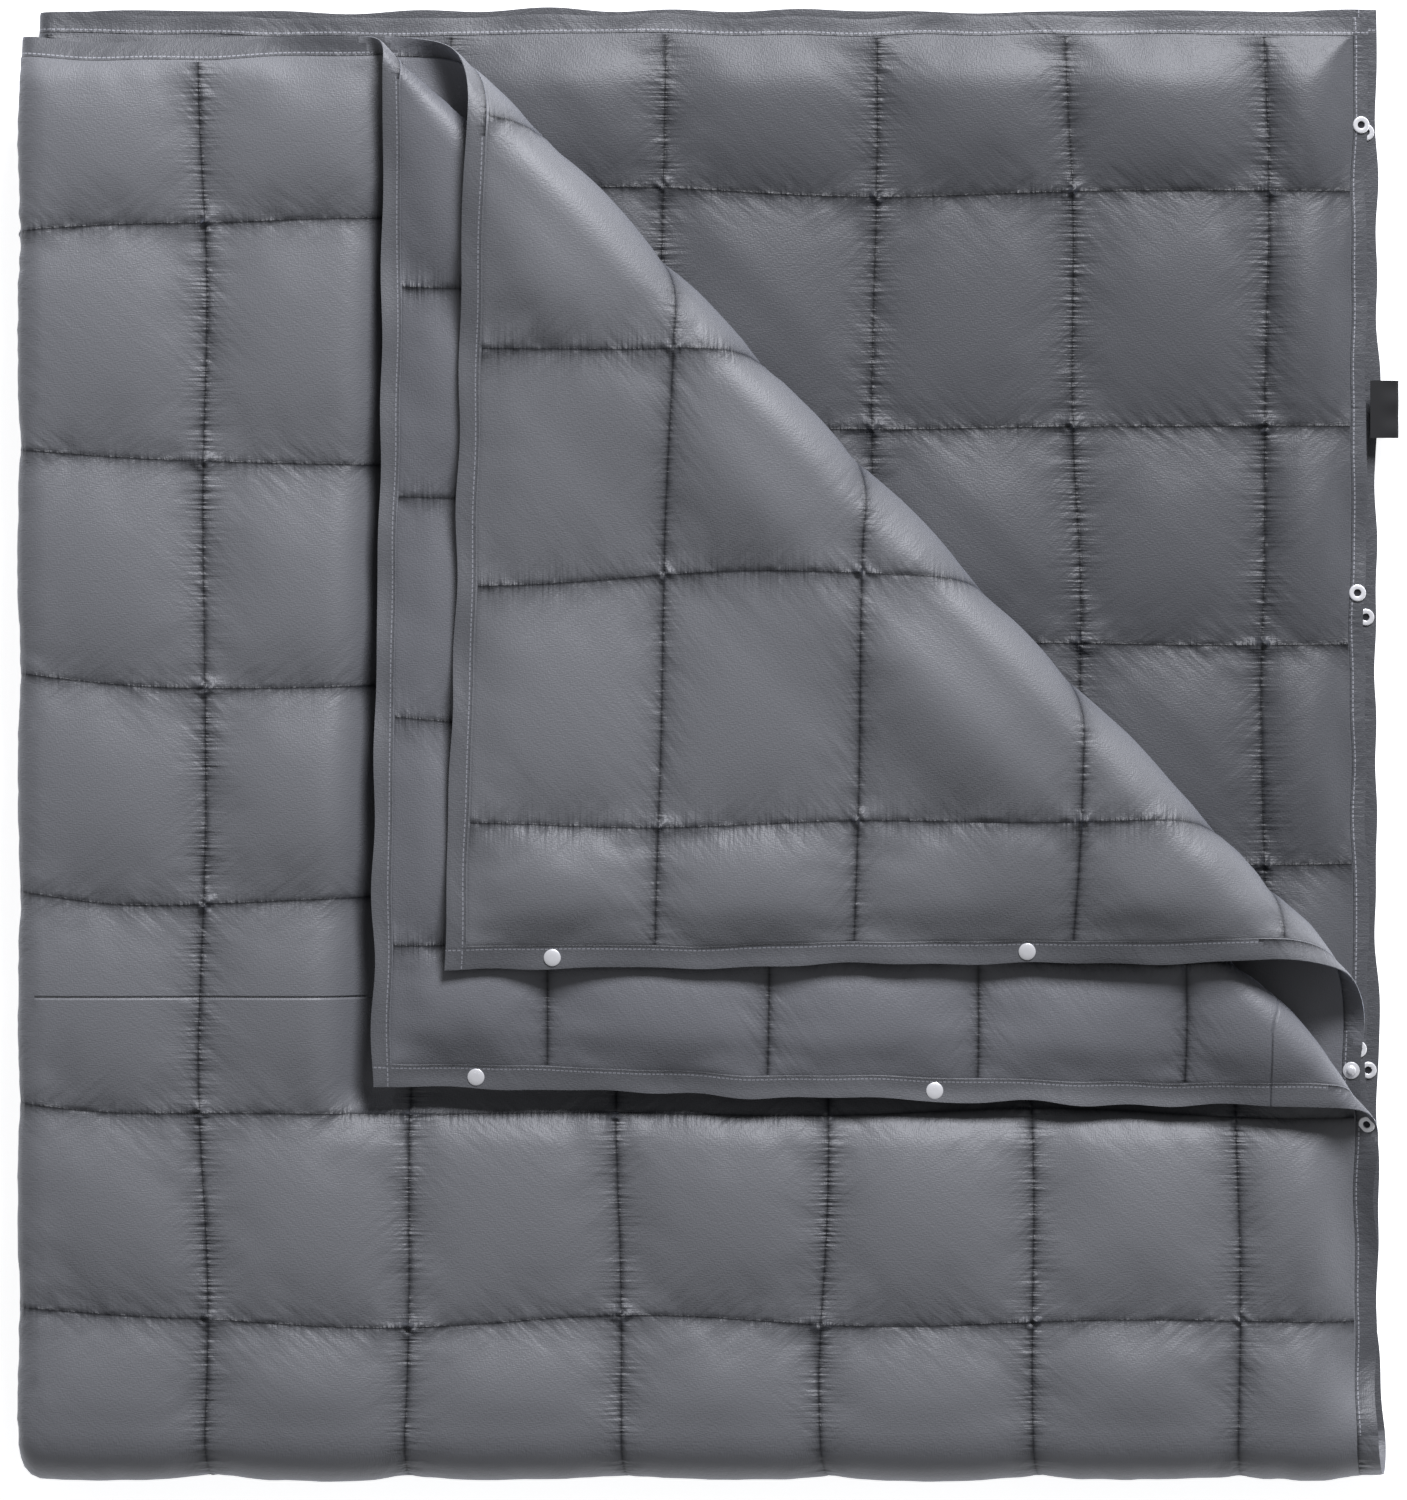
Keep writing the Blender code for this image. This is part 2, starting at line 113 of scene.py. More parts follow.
bottomY = [-0.4150, -0.2630, -0.1100, 0.0480, 0.2050, 0.3750, edgeTop - 0.0170, edgeTop]
secondY = [-0.4000, -0.2450, -0.0930, 0.0607, 0.2220, 0.3665, edgeTop - 0.0365, edgeTop - 0.0220]
thirdY = [-0.3950, -0.2400, -0.0843, 0.0748, 0.2368, 0.4083, edgeTop - 0.0189, edgeTop - 0.0057]
panelSeamY = -0.1833  # the plain seam that joins two widths of cloth

# How the corners of the two upper layers are turned over: the line of the bend from its end near the top hem
# to the one near the side hem, its middle radius, the corner's place before, and where its point ends up.
cornerFolds = {
    "top": {"start": (-0.2316, 0.4940), "end": (0.4690, -0.2660), "radius": pitch / 2,
            "corner": (topX[-1], topY[-1]), "point": (-0.2455, -0.2478)},
    "second": {"start": (-0.1840, 0.4660), "end": (0.4410, -0.1800), "radius": pitch * 1.5,
               "corner": (secondX[-1], secondY[-1]), "point": (-0.1905, -0.1635)},
}

rng = np.random.default_rng(quilt["seed"])
wavePhases = rng.uniform(0, 2 * math.pi, (16, 8))
waveTurns = rng.uniform(0, 2 * math.pi, (16, 8))


def waves(x, y, wavelength, kind):
    # low unevenness from eight crossed waves, mostly between -1.5 and 1.5
    total = 0
    for phase, turn in zip(wavePhases[kind], waveTurns[kind]):
        k = 2 * math.pi / wavelength * (0.7 + 0.1 * phase)
        total = total + np.sin(k * (x * math.cos(turn) + y * math.sin(turn)) + phase)
    return total / math.sqrt(len(wavePhases[kind]) / 2)


def sheetLines():
    # mesh lines across one direction, numbered -8 to 8
    # 0 is the seam in the fold, 7 the hem's stitching and 8 its edge
    places = []
    for k in range(8):
        n = quilt["hemLines"] if k == 7 else quilt["lastLines"] if k == 6 else quilt["squareLines"]
        f = np.arange(n) / n
        if k < 7:
            f = f - quilt["crowding"] * np.sin(2 * math.pi * f) / (2 * math.pi)
        places += list(k + f)
    places = np.array(places + [8.0])
    return np.concatenate([-places[:0:-1], places])


lines = sheetLines()
count = len(lines)
lineU, lineV = np.meshgrid(lines, lines, indexing="ij")


def cornerFar(fold, x, y):
    # how far a place is beyond the line that a corner is turned over at, and the direction beyond it
    start, end = np.array(fold["start"]), np.array(fold["end"])
    along = (end - start) / np.linalg.norm(end - start)
    out = np.array([-along[1], along[0]])
    return (x - start[0]) * out[0] + (y - start[1]) * out[1], out


def besideFlap(x, y):
    # how far a place is to the left of and below the turned-back corners' hems
    flap = cornerFolds["top"]["point"]
    return flap[0] + 0.034 * np.clip((y - flap[1]) / 0.76, 0, 1) - x, flap[1] - y


def outsideFlap(x, y):
    return np.maximum(np.maximum(*besideFlap(x, y)), 0)


def simulateSquares(across=4, steps=30, size=0.150, frames=25):
    # cloth pinned along its seams and blown up, a few squares of it; gives their heights, up to about 1
    n = across * steps + 1
    i, j = np.meshgrid(np.arange(n), np.arange(n), indexing="ij")
    rough = np.random.default_rng(11).normal(0, 0.0002, (n, n))
    low = (i * n + j)[:-1, :-1].ravel()
    mesh = bpy.data.meshes.new("squares")
    mesh.from_pydata(np.stack([i * size / steps, j * size / steps, rough], -1).reshape(-1, 3).tolist(), [],
                     np.stack([low, low + n, low + n + 1, low + 1], -1).tolist())
    cloth = bpy.data.objects.new("squares", mesh)
    bpy.context.scene.collection.objects.link(cloth)
    seams = cloth.vertex_groups.new(name="seams")
    seams.add(np.nonzero(((i % steps == 0) | (j % steps == 0)).ravel())[0].tolist(), 1.0, "REPLACE")
    modifier = cloth.modifiers.new("cloth", "CLOTH")
    s = modifier.settings
    s.quality, s.mass, s.air_damping = 4, 0.1, 3
    s.tension_stiffness = s.compression_stiffness = 20
    s.shear_stiffness, s.bending_stiffness = 8, 0.9
    s.tension_damping = s.compression_damping = s.shear_damping = 8
    s.vertex_group_mass = "seams"
    s.shrink_min = s.shrink_max = -0.030  # a little more cloth than the seams leave room for
    s.use_pressure = True
    s.uniform_pressure_force = 1.6
    s.effector_weights.gravity = 0
    modifier.collision_settings.use_collision = False
    for f in range(1, frames + 1):
        bpy.context.scene.frame_set(f)
    done = cloth.evaluated_get(bpy.context.evaluated_depsgraph_get()).to_mesh()
    height = np.empty(n * n * 3, dtype=np.float32)
    done.vertices.foreach_get("co", height)
    height = height.reshape(n, n, 3)[..., 2]
    bpy.data.objects.remove(cloth)
    bpy.context.scene.frame_set(1)
    smoothed = height.copy()
    beside = height[:-2, 1:-1] + height[2:, 1:-1] + height[1:-1, :-2] + height[1:-1, 2:]
    smoothed[1:-1, 1:-1] = height[1:-1, 1:-1] * 0.5 + 0.125 * beside
    squares = np.array([smoothed[a * steps:(a + 1) * steps + 1, b * steps:(b + 1) * steps + 1]
                        for a in range(across) for b in range(across)])
    return squares / np.percentile(squares, 97)


def evenSquare(steps=60):
    f = np.abs(2 * np.linspace(0, 1, steps + 1) - 1)
    crown = (1 - f ** 2) ** 0.88
    return crown[:, None] * crown[None, :]


def puffField(squares, side):
    # height of every sheet point over its seams, 0 to 1; side takes other squares for the other face
    cellU, cellV = np.floor(lineU).astype(int), np.floor(lineV).astype(int)
    fu, fv = lineU - cellU, lineV - cellV
    steps = squares.shape[1] - 1
    pick = (cellU * 7 + cellV * 13 + side * 5 + (cellU * cellV) % 3 * 11) % len(squares)
    fu = np.where((cellU + 2 * cellV + side) % 2 == 1, 1 - fu, fu)
    fv = np.where((2 * cellU + cellV + side) % 2 == 1, 1 - fv, fv)
    x, y = fu * steps, fv * steps
    i, j = np.minimum(x.astype(int), steps - 1), np.minimum(y.astype(int), steps - 1)
    x, y = x - i, y - j
    low = squares[pick, i, j] * (1 - x) + squares[pick, i + 1, j] * x
    high = squares[pick, i, j + 1] * (1 - x) + squares[pick, i + 1, j + 1] * x
    return low * (1 - y) + high * y


# Where the sheet's points lie before it is folded
arc = math.pi * pitch / 4  # half of the cloth in the side fold
footArc = math.pi * pitch / 2  # half of the cloth in the foot fold, at the middle of a pair
numbers = np.arange(-8, 9)


def alongSide(outer, inner, bend, inFold):
    return np.array([-(x - bend + arc) for x in inner[::-1]] + [inFold] + [x - bend + arc for x in outer])


def alongLength(upper, lower, inFold):
    toTop = [y - footAxis.y + footArc for y in upper]
    return np.array([-(y - footAxis.y + footArc) for y in lower[::-1]] + [inFold] + toTop)


# Every point's place on the flat sheet: alongU across the side fold, alongV across the foot fold.
upperU = np.interp(lineU, numbers, alongSide(topX, secondX, upperBend, -0.010))
lowerU = np.interp(lineU, numbers, alongSide(bottomX, thirdX, lowerBend, -0.010))
outerV = np.interp(lineV, numbers, alongLength(topY, bottomY, -0.016))
innerV = np.interp(lineV, numbers, alongLength(secondY, thirdY, -0.016))
alongU = lowerU + (upperU - lowerU) * np.where(lineU > 0, smooth(lineV + 1), smooth(lineV / 3))
alongV = innerV + (outerV - innerV) * smooth((lineU + 0.8) / 1.6)
edgeU = np.where(lineU > 0, alongU[-1:, :] - alongU, alongU - alongU[:1, :])  # distance from the hem's edge
edgeV = np.where(lineV > 0, alongV[:, -1:] - alongV, alongV - alongV[:, :1])
strayU = quilt["wander"] * waves(alongU, alongV, 0.33, 0) * (0.3 + 0.7 * smooth(edgeU / 0.1))
strayV = quilt["wander"] * waves(alongU, alongV, 0.36, 1) * (0.3 + 0.7 * smooth(edgeV / 0.1))
strayU = strayU + 0.0009 * waves(alongU, alongV, 0.085, 14) * smooth(1 - edgeU / 0.03) * np.sign(lineU)
strayV = strayV + 0.0009 * waves(alongU, alongV, 0.085, 15) * smooth(1 - edgeV / 0.03) * np.sign(lineV)
alongU, alongV = alongU + strayU, alongV + strayV


def distanceToSeam(numbersOfLines, places, direction):
    # to the nearest line of quilting, or in a hem to its stitching
    inSquares = np.abs(numbersOfLines) < 7
    nearest = np.where(inSquares, np.clip(np.rint(numbersOfLines), -6, 6), np.sign(numbersOfLines) * 7)
    at = np.array([int(np.argmin(np.abs(lines - k))) for k in numbers])[(nearest + 8).astype(int)]
    across = np.arange(count)
    return np.abs(places - (places[at, across[None, :]] if direction == 0 else places[across[:, None], at]))


offU, offV = distanceToSeam(lineU, alongU, 0), distanceToSeam(lineV, alongV, 1)

# Which way the seams are drawn in: to the lining, but to the face where layer 1's corner shows its lining.
planX, planY = np.abs(alongU) - arc + upperBend, np.abs(alongV) - footArc + footAxis.y
topBend, secondBend = math.pi * cornerFolds["top"]["radius"], math.pi * cornerFolds["second"]["radius"]
turnedOver = np.where(alongU > arc, cornerFar(cornerFolds["top"], planX, planY)[0], -1)
besideBends = smooth((np.abs(alongV) - footArc) / 0.03) * smooth((np.abs(alongU) - arc) / 0.03)
turnedUnder = np.where(alongU < -arc, cornerFar(cornerFolds["second"], planX, planY)[0], -1)
for turned, bend in ((turnedOver, topBend), (turnedUnder, secondBend)):
    flat = smooth(-turned / 0.03) + smooth((turned - bend) / 0.03)
    besideBends = besideBends * np.where(alongV > 0, flat, 1)
lookedAt = np.where((alongV > 0) & (turnedOver > 0), 1, -1) * besideBends
print("sheet:", count, "lines each way")
even = evenSquare()[None]
simulated = simulateSquares()
print("squares simulated")


def uncovered():
    # squares of the face that have nothing on them: layer 1 outside the flaps, the upper flap,
    # and layer 3 beyond both
    first = (alongU > arc) & (alongV > 0) & (turnedOver < 0)
    onLayerOne = np.where(first, smooth((outsideFlap(planX, planY) - 0.01) / 0.03), 0)
    onUpperFlap = np.where((alongU < -arc) & (alongV > 0), smooth((turnedUnder - secondBend) / 0.05), 0)
    beyond = cornerFar(cornerFolds["second"], planX, planY)[0]
    onLayerThree = np.where((alongU < -arc) & (alongV < 0), smooth((beyond - 0.045) / 0.03), 0)
    return (onLayerOne + onUpperFlap + onLayerThree) * smooth((np.abs(alongV) - footArc) / 0.03)


def offsetOf(side):
    # from the middle of the sheet to its face, side 0, or its lining, side 1
    crown = puffField(even, side) * 0.55 + puffField(simulated, side) * 0.45
    fullness = np.clip(0.92 + 0.08 * waves(alongU + side, alongV, 0.5, 3 + side), 0.75, 1.05)
    half = quilt["seamHalf"] + (quilt["puffHalf"] - quilt["seamHalf"]) * np.clip(crown, 0, 1.1) * fullness
    gatherU = 0.0006 * waves(alongU * 0.25, alongV, 0.018, 7 + side)
    gatherU = gatherU * np.exp(-offU / 0.012) * smooth(offU / 0.003)
    gatherV = 0.0004 * waves(alongU, alongV * 0.25, 0.022, 9 + side)
    gatherV = gatherV * np.exp(-offV / 0.010) * smooth(offV / 0.003)
    knotted = np.exp(-((offU / 0.006) ** 2) - (offV / 0.006) ** 2)
    knot = 0.0022 * knotted * (1 + 0.5 * waves(alongU, alongV, 0.007, 11 + side))
    half = half + gatherU + gatherV + knot
    hem = np.maximum(np.abs(lineU), np.abs(lineV))
    half = np.where(hem >= 7.99, quilt["edgeHalf"], np.where(hem >= 7, quilt["hemHalf"], half))
    seamward = (1 - np.clip(puffField(even, 0), 0, 1)) * smooth((7 - hem) / 0.2)
    fuller = 1 + quilt["loose"] * uncovered() * (1 - side)
    offset = (1, -1)[side] * np.minimum(half, quilt["mostHalf"]) * np.where(hem < 7, fuller, 1)
    offset = offset + quilt["pull"] * lookedAt * seamward
    return np.clip(offset, -quilt["mostHalf"], quilt["mostHalf"] * fuller)


def foldCorner(x, y, z, fold, takes):
    # turns what lies beyond a line over, on top of layer 1; also gives how far beyond the line each point was
    bend = math.pi * fold["radius"]
    far, out = cornerFar(fold, x, y)
    deep = cornerFar(fold, *fold["corner"])[0] - bend
    slide = np.array(fold["point"]) - (np.array(fold["corner"]) - out * (2 * deep + bend))
    turn = np.clip(far / fold["radius"], 0, math.pi)
    radius = level(4) - z
    reach = np.where(far < bend, radius * np.sin(turn), bend - far)
    share = np.clip((far - bend) / deep, 0, None)
    takes = takes & (far > 0)
    x = np.where(takes, x + out[0] * (reach - far) + share * slide[0], x)
    y = np.where(takes, y + out[1] * (reach - far) + share * slide[1], y)
    z = np.where(takes, level(4) - radius * np.cos(turn), z)
    return x, y, z, far, np.where(takes, turn / math.pi, 0)


def placeSheet(offset):
    # points of the folded sheet at an offset from its middle, positive to the face
    r = pitch / 2 + offset
    angle = np.clip(alongU / (pitch / 2), -math.pi / 2, math.pi / 2)
    folded = np.abs(alongU) < arc
    w = np.where(folded, r * np.sin(angle), np.sign(alongU) * r)
    x = np.where(folded, -r * np.cos(angle), np.abs(alongU) - arc) + lowerBend
    x = x + (upperBend - lowerBend) * smooth((alongV + 0.03) / 0.06)
    turn = np.clip(alongV / pitch, -math.pi / 2, math.pi / 2)
    radius = pitch + w
    y = footAxis.y + np.where(np.abs(alongV) < footArc, -radius * np.cos(turn), np.abs(alongV) - footArc)
    z = level(2) + radius * np.sin(turn)
    unturnedY = y.copy()
    upper = alongV > footArc
    isTop, isSecond = upper & (alongU > arc), upper & (alongU < -arc)
    x, y, z, farTop, turnTop = foldCorner(x, y, z, cornerFolds["top"], isTop)
    x, y, z, farSecond, turnSecond = foldCorner(x, y, z, cornerFolds["second"], isSecond)
    far = np.where(isTop, farTop, np.where(isSecond, farSecond, -1))
    bend = np.where(isTop, topBend, secondBend)
    clear = smooth(np.maximum(-far, far - bend) / quilt["bendClear"])
    clear = clear * smooth((np.abs(alongV) - footArc) / quilt["bendClear"])
    sagging = smooth(1 - np.minimum(edgeRight - x, edgeTop - y) / quilt["hemReach"])
    lying = smooth(1 - np.minimum(edgeU, edgeV) / 0.045) * smooth(turnTop + turnSecond)
    z = z - z * quilt["hemDrop"] * sagging * clear - quilt["flapDrop"] * lying * clear
    underFlap = smooth(-cornerFar(cornerFolds["top"], x, y)[0] / 0.10)
    pressed = smooth(1 - outsideFlap(x, y) / quilt["pressReach"]) * underFlap
    z = z * (1 - quilt["press"] * pressed)
    lies = np.where(turnTop + turnSecond > 0, 0, smooth(-cornerFar(cornerFolds["top"], x, y)[0] / 0.10))
    toLeft, toUnder = besideFlap(x, y)
    besideHem = quilt["dipLeft"] * np.exp(-(toLeft / 0.021) ** 2) * smooth(-toUnder / 0.03 + 1)
    belowHem = quilt["dipBelow"] * np.exp(-(toUnder / 0.018) ** 2) * smooth(-toLeft / 0.03 + 1)
    z = z * (1 - np.maximum(besideHem, belowHem) * lies)
    ripple = smooth(1 - np.minimum(edgeU, edgeV) / 0.035) * smooth((np.abs(alongV) - footArc) / 0.04)
    z = z + 0.0009 * ripple * clear * waves(alongU, alongV, 0.085, 13) * smooth(z / 0.02)
    z = z + 0.0020 * waves(x, y, 0.42, 5) * smooth(z / 0.06) * clear
    return np.stack([x, y, z], -1), far, unturnedY, isTop


def gridNormals(p, sign):
    n = np.cross(np.gradient(p, axis=0), np.gradient(p, axis=1)) * sign
    return n / np.maximum(np.linalg.norm(n, axis=-1, keepdims=True), 1e-12)


facePoints, far, unturnedY, isTop = placeSheet(offsetOf(0))
points = [facePoints, placeSheet(offsetOf(1))[0]]
normals = [gridNormals(points[0], 1), gridNormals(points[1], -1)]
panel = np.where(isTop, unturnedY - panelSeamY, 1.0)
inHemU, inHemV = np.abs(lineU) >= 7, np.abs(lineV) >= 7  # a hem counts only its own stitching
attributes = np.stack([np.where(inHemV & ~inHemU, 1, offU), np.where(inHemU & ~inHemV, 1, offV), panel], -1)


# Pieces: areas of the sheet, closed at the hems
def cells(field):
    return (field[:-1, :-1] + field[1:, 1:]) / 2


cellU, cellV, cellLength, cellFar = cells(lineU), cells(lineV), cells(alongV), cells(far)
hemCells = np.maximum(np.abs(cellU), np.abs(cellV)) > 7
upperCells = cellLength > footArc
onTop = upperCells & (cells(alongU) > 0)
onSecond = upperCells & ~onTop
areas = {
    "lower": cellLength < -footArc,
    "footOuter": (np.abs(cellLength) <= footArc) & (cells(alongU) > 0),
    "footInner": (np.abs(cellLength) <= footArc) & (cells(alongU) <= 0),
    "upper": upperCells & (cellFar <= 0),
    "topBend": onTop & (cellFar > 0) & (cellFar <= topBend),
    "topCorner": onTop & (cellFar > topBend),
    "secondBend": onSecond & (cellFar > 0) & (cellFar <= secondBend),
    "secondCorner": onSecond & (cellFar > secondBend),
}


def newMesh(name, vertices, quads):
    mesh = bpy.data.meshes.new(name)
    mesh.vertices.add(len(vertices))
    mesh.vertices.foreach_set("co", vertices.astype(np.float32).ravel())
    mesh.loops.add(quads.size)
    mesh.loops.foreach_set("vertex_index", quads.astype(np.int32).ravel())
    mesh.polygons.add(len(quads))
    mesh.polygons.foreach_set("loop_start", (np.arange(len(quads)) * 4).astype(np.int32))
    mesh.update(calc_edges=True)
    return mesh


def sheetPiece(name, area, sides=(0, 1), materials=()):
    # one area of the sheet, with its face, its lining or both; where both meet a hem's edge they are closed
    total = count * count
    quads = []
    i, j = np.nonzero(area)
    for side in sides:
        a = i * count + j + side * total
        four = [a, a + count, a + count + 1, a + 1]
        quads.append(np.stack(four if side == 0 else four[::-1], -1))
    if 0 in sides:
        k = np.arange(count - 1)
        lastRow, lastColumn = (count - 1) * count + k, k * count + count - 1
        edges = ((area[0, :], k + 1, k), (area[-1, :], lastRow, lastRow + 1),
                 (area[:, 0], k * count, (k + 1) * count), (area[:, -1], lastColumn + count, lastColumn))
        for inArea, first, second in edges:
            quads.append(np.stack([second, first, first + total, second + total], -1)[inArea])
    sizes = [len(q) for q in quads]
    quads = np.concatenate(quads)
    used, back = np.unique(quads.ravel(), return_inverse=True)
    quads = back.reshape(-1, 4)
    mesh = newMesh(name, np.concatenate([p.reshape(-1, 3) for p in points])[used], quads)
    cloth = np.stack([alongU, alongV], -1).reshape(-1, 2)[used % total].astype(np.float32)
    mesh.uv_layers.new(name="cloth").data.foreach_set("uv", cloth[quads.ravel()].ravel())
    sewn = attributes.reshape(-1, 3)[used % total].astype(np.float32)
    mesh.attributes.new("sewn", "FLOAT_VECTOR", "POINT").data.foreach_set("vector", sewn.ravel())
    for m in materials:
        mesh.materials.append(m)
    if len(materials) == 2:
        indices = np.repeat([0, 1] + [0] * (len(sizes) - 2), sizes)
        mesh.polygons.foreach_set("material_index", indices.astype(np.int32))
    mesh.shade_smooth()
    normal = np.concatenate([n.reshape(-1, 3) for n in normals])[used]
    mesh.normals_split_custom_set_from_vertices(normal.tolist())
    piece = bpy.data.objects.new(name, mesh)
    bpy.context.scene.collection.objects.link(piece)
    return piece


# Materials
def linear(hexColour):
    parts = [int(hexColour[i:i + 2], 16) / 255 for i in (1, 3, 5)]
    return (*[c / 12.92 if c <= 0.04045 else ((c + 0.055) / 1.055) ** 2.4 for c in parts], 1.0)


def node(tree, kind, settings=None, **links):
    # adds one node; a link is a node's output, or a plain value for that input
    made = tree.nodes.new(kind)
    for key, value in (settings or {}).items():
        setattr(made, key, value)
    for key, value in links.items():
        name = key.replace("_", " ")
        socket = made.inputs[int(key[2:])] if key.startswith("at") else made.inputs[name]
        if isinstance(value, bpy.types.NodeSocket):
            tree.links.new(value, socket)
        else:
            socket.default_value = value
    return made


def newMaterial(name, colour, roughness, metallic=0.0, sheen=0.0):
    material = bpy.data.materials.new(name)
    material.use_nodes = True
    shader = material.node_tree.nodes["Principled BSDF"]
    shader.inputs["Base Color"].default_value = linear(colour)
    shader.inputs["Roughness"].default_value = roughness
    shader.inputs["Metallic"].default_value = metallic
    shader.inputs["IOR"].default_value = 1.5
    shader.inputs["Sheen Weight"].default_value = sheen
    shader.inputs["Sheen Roughness"].default_value = 0.45
    return material, material.node_tree, shader


# how far from a seam each kind of fold and shade fades out, and the stitching on the hems, in metres
nylon = {"roughness": 0.52, "sheen": 0.25, "puckerFade": 0.0075, "crossFade": 0.0045, "creaseFade": 0.015,
         "threadShade": 0.0019, "seamShade": 0.009, "stitch": 0.0034, "stitchIn": 0.0020,
         "stitchHalf": 0.00045, "panelHalf": 0.0014, "foldHeight": 0.0030, "weaveHeight": 0.0006}


def wovenNylon(name, colour, seamShadeColour, pucker=1.15, crossPucker=0.75, slant=0.50,
               threadShadeDepth=0.62, sideShadeDepth=0.46, stitched=False):
    # thin plain-woven nylon drawn together by its seams: soft sheen, fine weave, puckers along the stitching
    material, tree, shader = newMaterial(name, colour, nylon["roughness"], sheen=nylon["sheen"])
    shader.inputs["Sheen Tint"].default_value = linear("#c9d2ea")

    def maths(operation, first, second=0.0, third=0.0):
        settings = {"operation": operation}
        return node(tree, "ShaderNodeMath", settings, at0=first, at1=second, at2=third).outputs[0]

    def noise(scale, turn=0.0, detail=1.5):
        # waves per metre along and across; the texture kind of mapping turns them before it stretches them
        size = (1 / scale[0], 1 / scale[1], 1)
        placed = node(tree, "ShaderNodeMapping", {"vector_type": "TEXTURE"}, Vector=cloth, Scale=size,
                      Rotation=(0, 0, turn)).outputs[0]
        return node(tree, "ShaderNodeTexNoise", Vector=placed, Scale=1.0, Detail=detail).outputs["Fac"]

    def mixed(share, first, second):
        return node(tree, "ShaderNodeMix", {"data_type": "RGBA"}, at0=share, at6=first, at7=second).outputs[2]

    def fading(distance, reach):
        return maths("EXPONENT", maths("MULTIPLY", distance, -1 / reach))

    cloth = node(tree, "ShaderNodeUVMap", {"uv_map": "cloth"}).outputs[0]
    sewn = node(tree, "ShaderNodeAttribute", {"attribute_name": "sewn"}).outputs["Vector"]
    off = node(tree, "ShaderNodeSeparateXYZ", Vector=sewn)
    offU, offV = off.outputs["X"], off.outputs["Y"]
    offPanel = maths("ABSOLUTE", off.outputs["Z"])
    nearest = maths("MINIMUM", offU, offV)
    # puckers: folds about 3 mm apart that run away from a seam, here more and there less
    uneven = maths("MULTIPLY_ADD", noise((24, 24)), 2.2, -0.35)
    fadeU = maths("MULTIPLY", fading(offU, nylon["puckerFade"]), uneven)
    fadeV = maths("MULTIPLY", fading(offV, nylon["crossFade"]), uneven)
    puckers = maths("MULTIPLY", noise((30, 300)), fadeU)
    puckers = maths("MULTIPLY_ADD", maths("MULTIPLY", noise((260, 30)), fadeV), crossPucker, puckers)
    puckers = maths("MULTIPLY", puckers, pucker)
    # slanting creases where the squares are drawn to their seams: in patches they slant one way or the other
    drawn = maths("MULTIPLY_ADD", fading(nearest, nylon["creaseFade"]), 1.5, 0.12)
    oneWay = maths("SMOOTH_MAX", maths("MULTIPLY_ADD", noise((11, 11), 0.3, 0.0), 6.0, -2.5), 0.0, 0.1)
    oneWay = maths("SMOOTH_MIN", oneWay, 1.0, 0.1)
    creases = maths("MULTIPLY", noise((30, 115), 0.70, 2.0), oneWay)
    creases = maths("MULTIPLY_ADD", noise((30, 115), -0.70, 2.0), maths("SUBTRACT", 1.0, oneWay), creases)
    height = maths("MULTIPLY_ADD", maths("MULTIPLY", creases, drawn), slant, puckers)
    # the seam that joins two widths: a narrow step
    height = maths("MULTIPLY_ADD", maths("SMOOTH_MIN", offPanel, nylon["panelHalf"], 0.0006), 260.0, height)
    shape = node(tree, "ShaderNodeBump", Strength=1.0, Distance=nylon["foldHeight"], Height=height).outputs[0]
    # weave, drawn coarser than the real 0.3 mm so that it still shows
    weave = maths("ADD", noise((1250, 420), 0, 0.0), noise((420, 1250), 0, 0.0))
    woven = node(tree, "ShaderNodeBump", Strength=0.30, Distance=nylon["weaveHeight"], Height=weave,
                 Normal=shape).outputs[0]
    tree.links.new(woven, shader.inputs["Normal"])
    # the crease itself, where the thread holds both sheets together, is darker: partly a dark thread line and
    # partly painted shade in the crease; beside each seam the squares' sides get painted shade too
    nearer = maths("MINIMUM", nearest, maths("MULTIPLY_ADD", offPanel, 7.0, 0.0020))
    seamShading = maths("MULTIPLY", fading(nearer, nylon["threadShade"]), threadShadeDepth)
    seamShading = maths("MULTIPLY_ADD", fading(nearest, nylon["seamShade"]), sideShadeDepth, seamShading)
    colours = mixed(seamShading, linear(colour), linear(seamShadeColour))
    if stitched:  # thread on the hem: stitches 3.4 mm apart, 2 mm from its inner edge
        fromStitches = maths("ABSOLUTE", maths("SUBTRACT", nearest, nylon["stitchIn"]))
        near = maths("LESS_THAN", fromStitches, nylon["stitchHalf"])
        run = node(tree, "ShaderNodeSeparateXYZ", Vector=cloth)
        sideways = maths("LESS_THAN", offU, offV)
        alongX = maths("MULTIPLY", run.outputs["X"], maths("SUBTRACT", 1.0, sideways))
        along = maths("ADD", maths("MULTIPLY", run.outputs["Y"], sideways), alongX)
        dash = maths("LESS_THAN", maths("FRACT", maths("MULTIPLY", along, 1 / nylon["stitch"])), 0.7)
        colours = mixed(maths("MULTIPLY", near, dash), colours, linear("#85868b"))
    tree.links.new(colours, shader.inputs["Base Color"])
    return material
